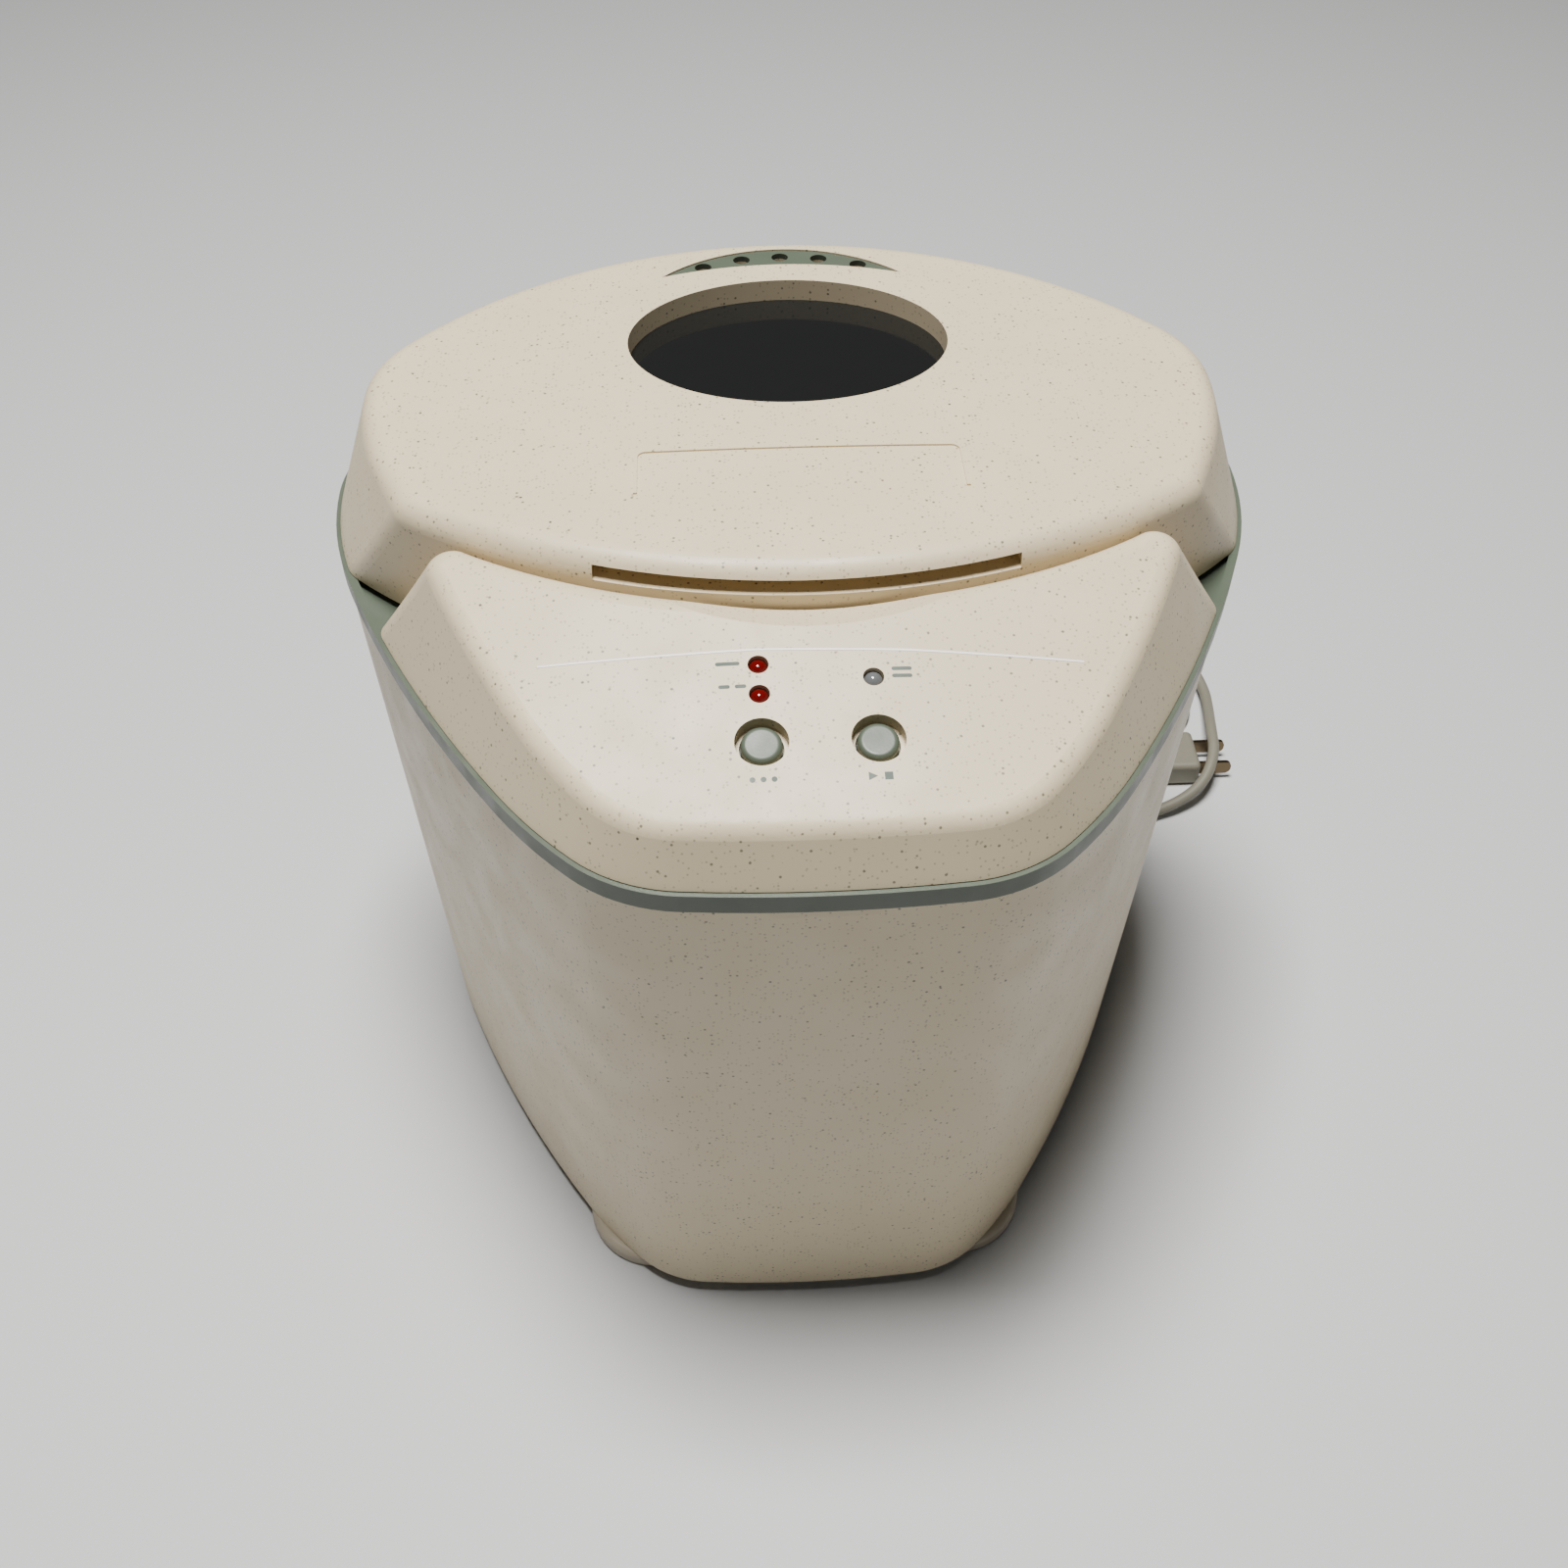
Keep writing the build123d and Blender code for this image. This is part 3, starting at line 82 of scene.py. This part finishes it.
# ---------------------------------------------------------------- camera
def make_camera():
    data = bpy.data.cameras.new("camera")
    data.lens = CAMERA_LENS
    data.sensor_width = 36.0
    data.clip_start = 0.01
    camera = bpy.data.objects.new("camera", data)
    bpy.context.scene.collection.objects.link(camera)
    turn = Matrix.Rotation(math.radians(-CAMERA_HEADING), 4, "Z")
    tilt = Matrix.Rotation(math.radians(90 - CAMERA_DOWN), 4, "X")
    roll = Matrix.Rotation(math.radians(-CAMERA_ROLL), 4, "Z")
    camera.matrix_world = Matrix.Translation(CAMERA_PLACE) @ turn @ tilt @ roll
    bpy.context.scene.camera = camera


make_camera()


# ---------------------------------------------------------------- material helpers
class Finish:
    """A node material with a principled shader and short ways to add texture to it."""

    def __init__(self, name, color, roughness, metallic=0.0):
        self.material = bpy.data.materials.new(name)
        self.material.use_nodes = True
        self.nodes = self.material.node_tree.nodes
        self.links = self.material.node_tree.links
        self.shader = self.nodes["Principled BSDF"]
        self.shader.inputs["Base Color"].default_value = (*color, 1.0)
        self.shader.inputs["Roughness"].default_value = roughness
        self.shader.inputs["Metallic"].default_value = metallic
        self.where = self.nodes.new("ShaderNodeTexCoord").outputs["Object"]

    def node(self, kind, **settings):
        made = self.nodes.new(kind)
        for key, value in settings.items():
            setattr(made, key, value)
        return made

    def noise(self, scale, detail=3.0, stretch=None):
        made = self.node("ShaderNodeTexNoise")
        made.inputs["Scale"].default_value = scale
        made.inputs["Detail"].default_value = detail
        source = self.where
        if stretch is not None:
            mapping = self.node("ShaderNodeMapping")
            mapping.inputs["Scale"].default_value = stretch
            self.links.new(source, mapping.inputs["Vector"])
            source = mapping.outputs["Vector"]
        self.links.new(source, made.inputs["Vector"])
        return made.outputs["Fac"]

    def ramp(self, value, low, high, low_value=0.0, high_value=1.0):
        made = self.node("ShaderNodeMapRange")
        made.inputs["From Min"].default_value = low
        made.inputs["From Max"].default_value = high
        made.inputs["To Min"].default_value = low_value
        made.inputs["To Max"].default_value = high_value
        self.links.new(value, made.inputs["Value"])
        return made.outputs["Result"]

    def specks(self, scale, size, share):
        """Mask of small round specks, one in the given share of the cells."""
        cells = self.node("ShaderNodeTexVoronoi")
        cells.inputs["Scale"].default_value = scale
        self.links.new(self.where, cells.inputs["Vector"])
        near = self.ramp(cells.outputs["Distance"], size, size * 0.6)
        parts = self.node("ShaderNodeSeparateColor")
        self.links.new(cells.outputs["Color"], parts.inputs["Color"])
        chosen = self.ramp(parts.outputs["Red"], 1.0 - share, 1.0 - share + 0.01)
        both = self.node("ShaderNodeMath", operation="MULTIPLY")
        self.links.new(near, both.inputs[0])
        self.links.new(chosen, both.inputs[1])
        return both.outputs[0]

    def tint(self, mask, color, strength=1.0):
        """Lays a colour over the present one where the mask is 1."""
        mix = self.node("ShaderNodeMix", data_type="RGBA")
        base = self.shader.inputs["Base Color"]
        if base.is_linked:
            self.links.new(base.links[0].from_socket, mix.inputs["A"])
        else:
            mix.inputs["A"].default_value = base.default_value
        mix.inputs["B"].default_value = (*color, 1.0)
        amount = self.ramp(mask, 0.0, 1.0, 0.0, strength)
        self.links.new(amount, mix.inputs["Factor"])
        self.links.new(mix.outputs["Result"], base)
        return self

    def uneven(self, scale, low, high, stretch=None):
        value = self.ramp(self.noise(scale, 4.0, stretch), 0.35, 0.65, low, high)
        self.links.new(value, self.shader.inputs["Roughness"])
        return self

    def grain(self, scale, depth, strength=0.3, stretch=None):
        bump = self.node("ShaderNodeBump")
        bump.inputs["Strength"].default_value = strength
        bump.inputs["Distance"].default_value = depth
        self.links.new(self.noise(scale, 3.0, stretch), bump.inputs["Height"])
        self.links.new(bump.outputs["Normal"], self.shader.inputs["Normal"])
        return self

    def set(self, **values):
        for key, value in values.items():
            self.shader.inputs[key.replace("_", " ")].default_value = value
        return self


def speckled(name, color):
    """Cream moulded plastic with fine specks, a few larger ones, faint dirt and satin grain."""
    made = Finish(name, color, 0.42)
    made.tint(made.ramp(made.noise(14.0), 0.4, 0.7), tuple(0.93 * c for c in color), 0.6)
    made.tint(made.specks(scale=900.0, size=0.34, share=0.34), (0.20, 0.17, 0.11), 0.50)
    made.tint(made.specks(scale=560.0, size=0.26, share=0.16), (0.07, 0.065, 0.045), 0.75)
    made.tint(made.specks(scale=230.0, size=0.11, share=0.12), (0.04, 0.04, 0.03), 0.90)
    made.uneven(60.0, 0.36, 0.50)
    return made.grain(2600.0, 0.00006, 0.35)


def plastic(name, color, roughness, grain=1800.0):
    made = Finish(name, color, roughness)
    made.tint(made.ramp(made.noise(35.0), 0.42, 0.7), tuple(0.82 * c for c in color), 0.5)
    made.uneven(90.0, roughness - 0.05, roughness + 0.09)
    return made.grain(grain, 0.00005, 0.3)


def metal(name, color, roughness, stretch=(1.0, 1.0, 18.0)):
    made = Finish(name, color, roughness, 1.0)
    made.tint(made.ramp(made.noise(50.0), 0.4, 0.7), tuple(0.8 * c for c in color), 0.4)
    made.uneven(240.0, roughness - 0.06, roughness + 0.1, stretch)
    return made.grain(700.0, 0.00003, 0.25, stretch)


def rubber(name, color):
    made = Finish(name, color, 0.75)
    made.tint(made.ramp(made.noise(300.0), 0.5, 0.75), tuple(1.7 * c for c in color), 0.5)
    return made.grain(1500.0, 0.00008, 0.4)


CREAM = (0.67, 0.565, 0.385)
FINISHES = {
    "speckled_shell": speckled("speckled_shell", CREAM),
    "green_trim": plastic("green_trim", (0.080, 0.100, 0.072), 0.38),
    "smoked_glass": Finish("smoked_glass", (0.012, 0.013, 0.013), 0.07).set(
        IOR=1.5, Transmission_Weight=0.3, Coat_Weight=0.4
    ),
    "rubber_black": rubber("rubber_black", (0.02, 0.02, 0.02)),
    "base_plastic": plastic("base_plastic", (0.50, 0.44, 0.34), 0.5),
    "steel": metal("steel", (0.50, 0.50, 0.51), 0.34),
    "bright_steel": metal("bright_steel", (0.68, 0.68, 0.69), 0.16),
    "aluminium": metal("aluminium", (0.72, 0.72, 0.73), 0.30),
    "non_stick": plastic("non_stick", (0.028, 0.028, 0.030), 0.42, 900.0),
    "heater": metal("heater", (0.16, 0.14, 0.13), 0.48),
    "ceramic": plastic("ceramic", (0.74, 0.71, 0.63), 0.22),
    "board_green": plastic("board_green", (0.015, 0.10, 0.04), 0.30),
    "red_lens": Finish("red_lens", (0.13, 0.003, 0.003), 0.22).set(Coat_Weight=0.2, Transmission_Weight=0.2),
    "clear_lens": Finish("clear_lens", (0.20, 0.21, 0.22), 0.12).set(
        Coat_Weight=0.6, Transmission_Weight=0.4
    ),
    "black_plastic": plastic("black_plastic", (0.02, 0.02, 0.021), 0.45),
    "white_plastic": plastic("white_plastic", (0.68, 0.66, 0.60), 0.4),
    "belt_rubber": rubber("belt_rubber", (0.025, 0.025, 0.025)),
    "brass": metal("brass", (0.60, 0.44, 0.20), 0.32),
    "cord_vinyl": plastic("cord_vinyl", (0.205, 0.195, 0.150), 0.42),
    "dark_brass": metal("dark_brass", (0.16, 0.12, 0.07), 0.34),
}
for lens in ("smoked_glass", "red_lens", "clear_lens"):
    FINISHES[lens].uneven(120.0, 0.05, 0.14).grain(150.0, 0.00002, 0.2)


def finish_nodes():
    """Gives every CAD node the finish of its material slot, and smooth shading."""
    for row in frame["record"]["subparts"]:
        node = NODES[row["node"]]
        node.data.materials.clear()
        node.data.materials.append(FINISHES[row["material_slot"]].material)
        for face in node.data.polygons:
            face.use_smooth = True


finish_nodes()


# ---------------------------------------------------------------- mains cord
def coil_step(turns):
    """Radius and height of the coil's line after a number of turns."""
    inner, middle, outer = COIL_RADII

    def between(low, high, start, end):
        share = min(max((turns - start) / (end - start), 0.0), 1.0)
        return low + (high - low) * share * share * (3 - 2 * share)

    radius = between(COIL_ENTRY_RADIUS, inner, 0.0, COIL_ENTRY_TURNS)
    for step, (start, end) in zip((middle - inner, outer - middle), COIL_SHIFTS):
        radius += between(0.0, step, start, end)
    height = CORD_FLOOR
    for rise, up_start, up_end, down_start, down_end in COIL_HUMPS:
        height += between(0.0, rise, up_start, up_end) - between(0.0, rise, down_start, down_end)
    return radius, height


def cord_line():
    points = [
        place(0.0732, 0.2598, 0.030),
        place(0.0797, 0.2744, 0.030),
        place(0.0882, 0.2900, 0.0215),
        place(0.0985, 0.3055, 0.0105),
        place(0.1065, 0.3225, 0.0032),
    ]
    steps = round(COIL_TURNS * POINTS_PER_TURN)
    for index in range(steps + 1):
        turns = COIL_TURNS * index / steps
        radius, height = coil_step(turns)
        angle = math.radians(COIL_START_ANGLE - 360.0 * turns)
        points.append(
            place(COIL_X + radius * math.cos(angle), COIL_S + radius * math.sin(angle), height)
        )
    tail = (
        (0.1730, 0.3110, CORD_FLOOR),
        (0.1795, 0.2970, CORD_FLOOR),
        (0.1845, 0.2815, CORD_FLOOR),
        (0.1790, 0.2665, CORD_FLOOR),
        (0.1650, 0.2585, CORD_FLOOR),
        (0.1480, 0.2605, CORD_FLOOR),
        (0.1365, 0.2725, CORD_FLOOR),
        (0.1335, 0.2890, 0.0029),
        (0.1405, 0.3045, 0.0052),
        (0.1570, 0.3140, 0.0088),
        (0.1770, 0.3145, 0.0088),
        (0.1900, 0.3030, 0.0060),
        (0.1935, 0.2870, 0.0045),
        (0.1910, 0.2710, 0.0075),
        (0.1875, 0.2555, 0.0126),
        (0.1855, 0.2385, 0.0126),
        (0.1780, 0.2245, 0.0085),
        (0.1640, 0.2165, 0.0046),
        (0.1470, 0.2125, 0.0029),
        (0.1311, 0.2038, CORD_FLOOR),
        (0.1160, 0.2044, CORD_FLOOR),
        (0.1042, 0.2141, CORD_FLOOR),
        (0.1014, 0.2291, 0.0028),
        (0.1091, 0.2428, 0.0032),
        (0.1250, 0.2485, 0.0046),
        (0.1395, 0.2475, 0.0056),
        (0.1530, 0.2435, 0.0060),
    )
    return points + [place(*point) for point in tail]


def make_cord():
    points = cord_line()
    data = bpy.data.curves.new("mains_cord", "CURVE")
    data.dimensions = "3D"
    data.resolution_u = 8
    data.bevel_depth = CORD_DIAMETER / 2
    data.bevel_resolution = 5
    data.use_fill_caps = True
    spline = data.splines.new("NURBS")
    spline.points.add(len(points) - 1)
    for target, point in zip(spline.points, points):
        target.co = (*point, 1.0)
    spline.order_u = 3
    spline.use_endpoint_u = True
    cord = bpy.data.objects.new("mains_cord", data)
    bpy.context.scene.collection.objects.link(cord)
    data.materials.append(FINISHES["cord_vinyl"].material)
    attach(cord, "machine")
    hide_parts("cord_lead", "cord_coil", "cord_tail")


make_cord()


# ---------------------------------------------------------------- printed marks on the panel
def surface_of(node):
    mesh = NODES[node].data
    corners = [vertex.co.copy() for vertex in mesh.vertices]
    return BVHTree.FromPolygons(corners, [tuple(face.vertices) for face in mesh.polygons])


PANEL_SURFACE = surface_of("control_panel")


def on_surface(surface, x, distance, lift):
    start = place(x, distance, RAY_START_HEIGHT)
    hit, normal, _, _ = surface.ray_cast(start, Vector((0, 0, -1)))
    return hit + Vector((0, 0, lift))


def add_patch(name, surface, outlines, lift, finish, body):
    """Thin printed patches: each outline is a ring of (x, distance) round its own centre."""
    corners = []
    faces = []
    for outline in outlines:
        first = len(corners)
        centre_x = sum(x for x, _ in outline) / len(outline)
        centre_s = sum(s for _, s in outline) / len(outline)
        corners.append(on_surface(surface, centre_x, centre_s, lift))
        corners += [on_surface(surface, x, s, lift) for x, s in outline]
        for index in range(len(outline)):
            faces.append((first, first + 1 + index, first + 1 + (index + 1) % len(outline)))
    mesh = bpy.data.meshes.new(name)
    mesh.from_pydata(corners, [], faces)
    mesh.materials.append(finish.material)
    made = bpy.data.objects.new(name, mesh)
    bpy.context.scene.collection.objects.link(made)
    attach(made, body)
    return made


def bar(x, distance, width, depth):
    """Small rounded bar as an outline."""
    ring = []
    for index in range(RING_POINTS):
        angle = math.radians((index + 0.5) * 360.0 / RING_POINTS)
        along = math.copysign(width / 2 - depth / 2, math.cos(angle))
        ring.append((x + along + depth / 2 * math.cos(angle), distance + depth / 2 * math.sin(angle)))
    return ring


def disc(x, distance, radius):
    return [
        (x + radius * math.cos(math.radians(a)), distance + radius * math.sin(math.radians(a)))
        for a in range(0, 360, 360 // RING_POINTS)
    ]


RULE_POINTS = ((-0.068, 0.0543), (-0.0143, 0.0554), (0.0225, 0.0542), (0.0665, 0.0510))
RULE_THICK = 0.00055


def rule_distance(x):
    for (x0, s0), (x1, s1) in zip(RULE_POINTS, RULE_POINTS[1:]):
        if x <= x1:
            return s0 + (s1 - s0) * (x - x0) / (x1 - x0)
    return RULE_POINTS[-1][1]


def make_rule():
    """Thin pale line across the panel, as short pieces that follow the surface."""
    start, end = RULE_POINTS[0][0], RULE_POINTS[-1][0]
    corners = []
    faces = []
    for index in range(RULE_STEPS + 1):
        x = start + (end - start) * index / RULE_STEPS
        for side in (-1, 1):
            point = rule_distance(x) + side * RULE_THICK / 2
            corners.append(on_surface(PANEL_SURFACE, x, point, RULE_LIFT))
    for index in range(RULE_STEPS):
        first = 2 * index
        faces.append((first, first + 2, first + 3, first + 1))
    mesh = bpy.data.meshes.new("panel_rule")
    mesh.from_pydata(corners, [], faces)
    mesh.materials.append(FINISHES_PRINT["pale"].material)
    made = bpy.data.objects.new("panel_rule", mesh)
    bpy.context.scene.collection.objects.link(made)
    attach(made, "machine")


FINISHES_PRINT = {
    "pale": plastic("print_pale", (0.95, 0.94, 0.90), 0.45),
    "dark": plastic("print_dark", (0.045, 0.075, 0.055), 0.5),
}


def make_symbols():
    """Generic signs: bars by the lamps, dots under one button, a triangle and a square under the other."""
    signs = [
        bar(-0.0215, 0.0517, 0.0060, MARK_DEPTH),
        bar(-0.0225, 0.0453, 0.0028, MARK_DEPTH),
        bar(-0.0185, 0.0453, 0.0028, MARK_DEPTH),
        bar(0.0210, 0.0490, 0.0050, MARK_DEPTH),
        bar(0.0210, 0.0470, 0.0050, MARK_DEPTH),
    ]
    signs += [disc(-0.0140 + step * 0.0026, 0.0200, 0.0007) for step in (-1, 0, 1)]
    signs.append([(0.0108, 0.0189), (0.0130, 0.0200), (0.0108, 0.0211)])
    signs.append([(0.0146, 0.0190), (0.0166, 0.0190), (0.0166, 0.0210), (0.0146, 0.0210)])
    add_patch(
        "panel_symbols", PANEL_SURFACE, signs, PRINT_LIFT, FINISHES_PRINT["dark"], "machine"
    )


make_rule()
make_symbols()


# ---------------------------------------------------------------- floor and light
def make_floor():
    mesh = bpy.data.meshes.new("floor")
    corners = [(x * FLOOR_HALF, y * FLOOR_HALF, 0) for x, y in ((-1, -1), (1, -1), (1, 1), (-1, 1))]
    mesh.from_pydata(corners, [], [(0, 1, 2, 3)])
    floor = bpy.data.objects.new("floor", mesh)
    bpy.context.scene.collection.objects.link(floor)
    surface = Finish("floor_paint", (0.62, 0.63, 0.64), 0.6)
    mesh.materials.append(surface.material)


def make_light(name, kind, location, target, energy, size, color=(1.0, 1.0, 1.0)):
    data = bpy.data.lights.new(name, kind)
    data.energy = energy
    data.color = color
    data.size = size
    light = bpy.data.objects.new(name, data)
    light.location = location
    aim = Vector(target) - Vector(location)
    light.rotation_euler = aim.to_track_quat("-Z", "Y").to_euler()
    bpy.context.scene.collection.objects.link(light)


def make_world():
    world = bpy.data.worlds.new("studio")
    bpy.context.scene.world = world
    world.use_nodes = True
    background = world.node_tree.nodes["Background"]
    background.inputs["Color"].default_value = WORLD_COLOR
    background.inputs["Strength"].default_value = WORLD_STRENGTH


make_floor()
make_world()
make_light("key", "AREA", (-0.10, 0.02, 1.55), (0.0, 0.0, 0.20), 46.0, 0.45, (1.0, 0.98, 0.95))
make_light("fill", "AREA", (0.9, -1.2, 1.1), (0.0, 0.0, 0.15), 0.4, 1.2)
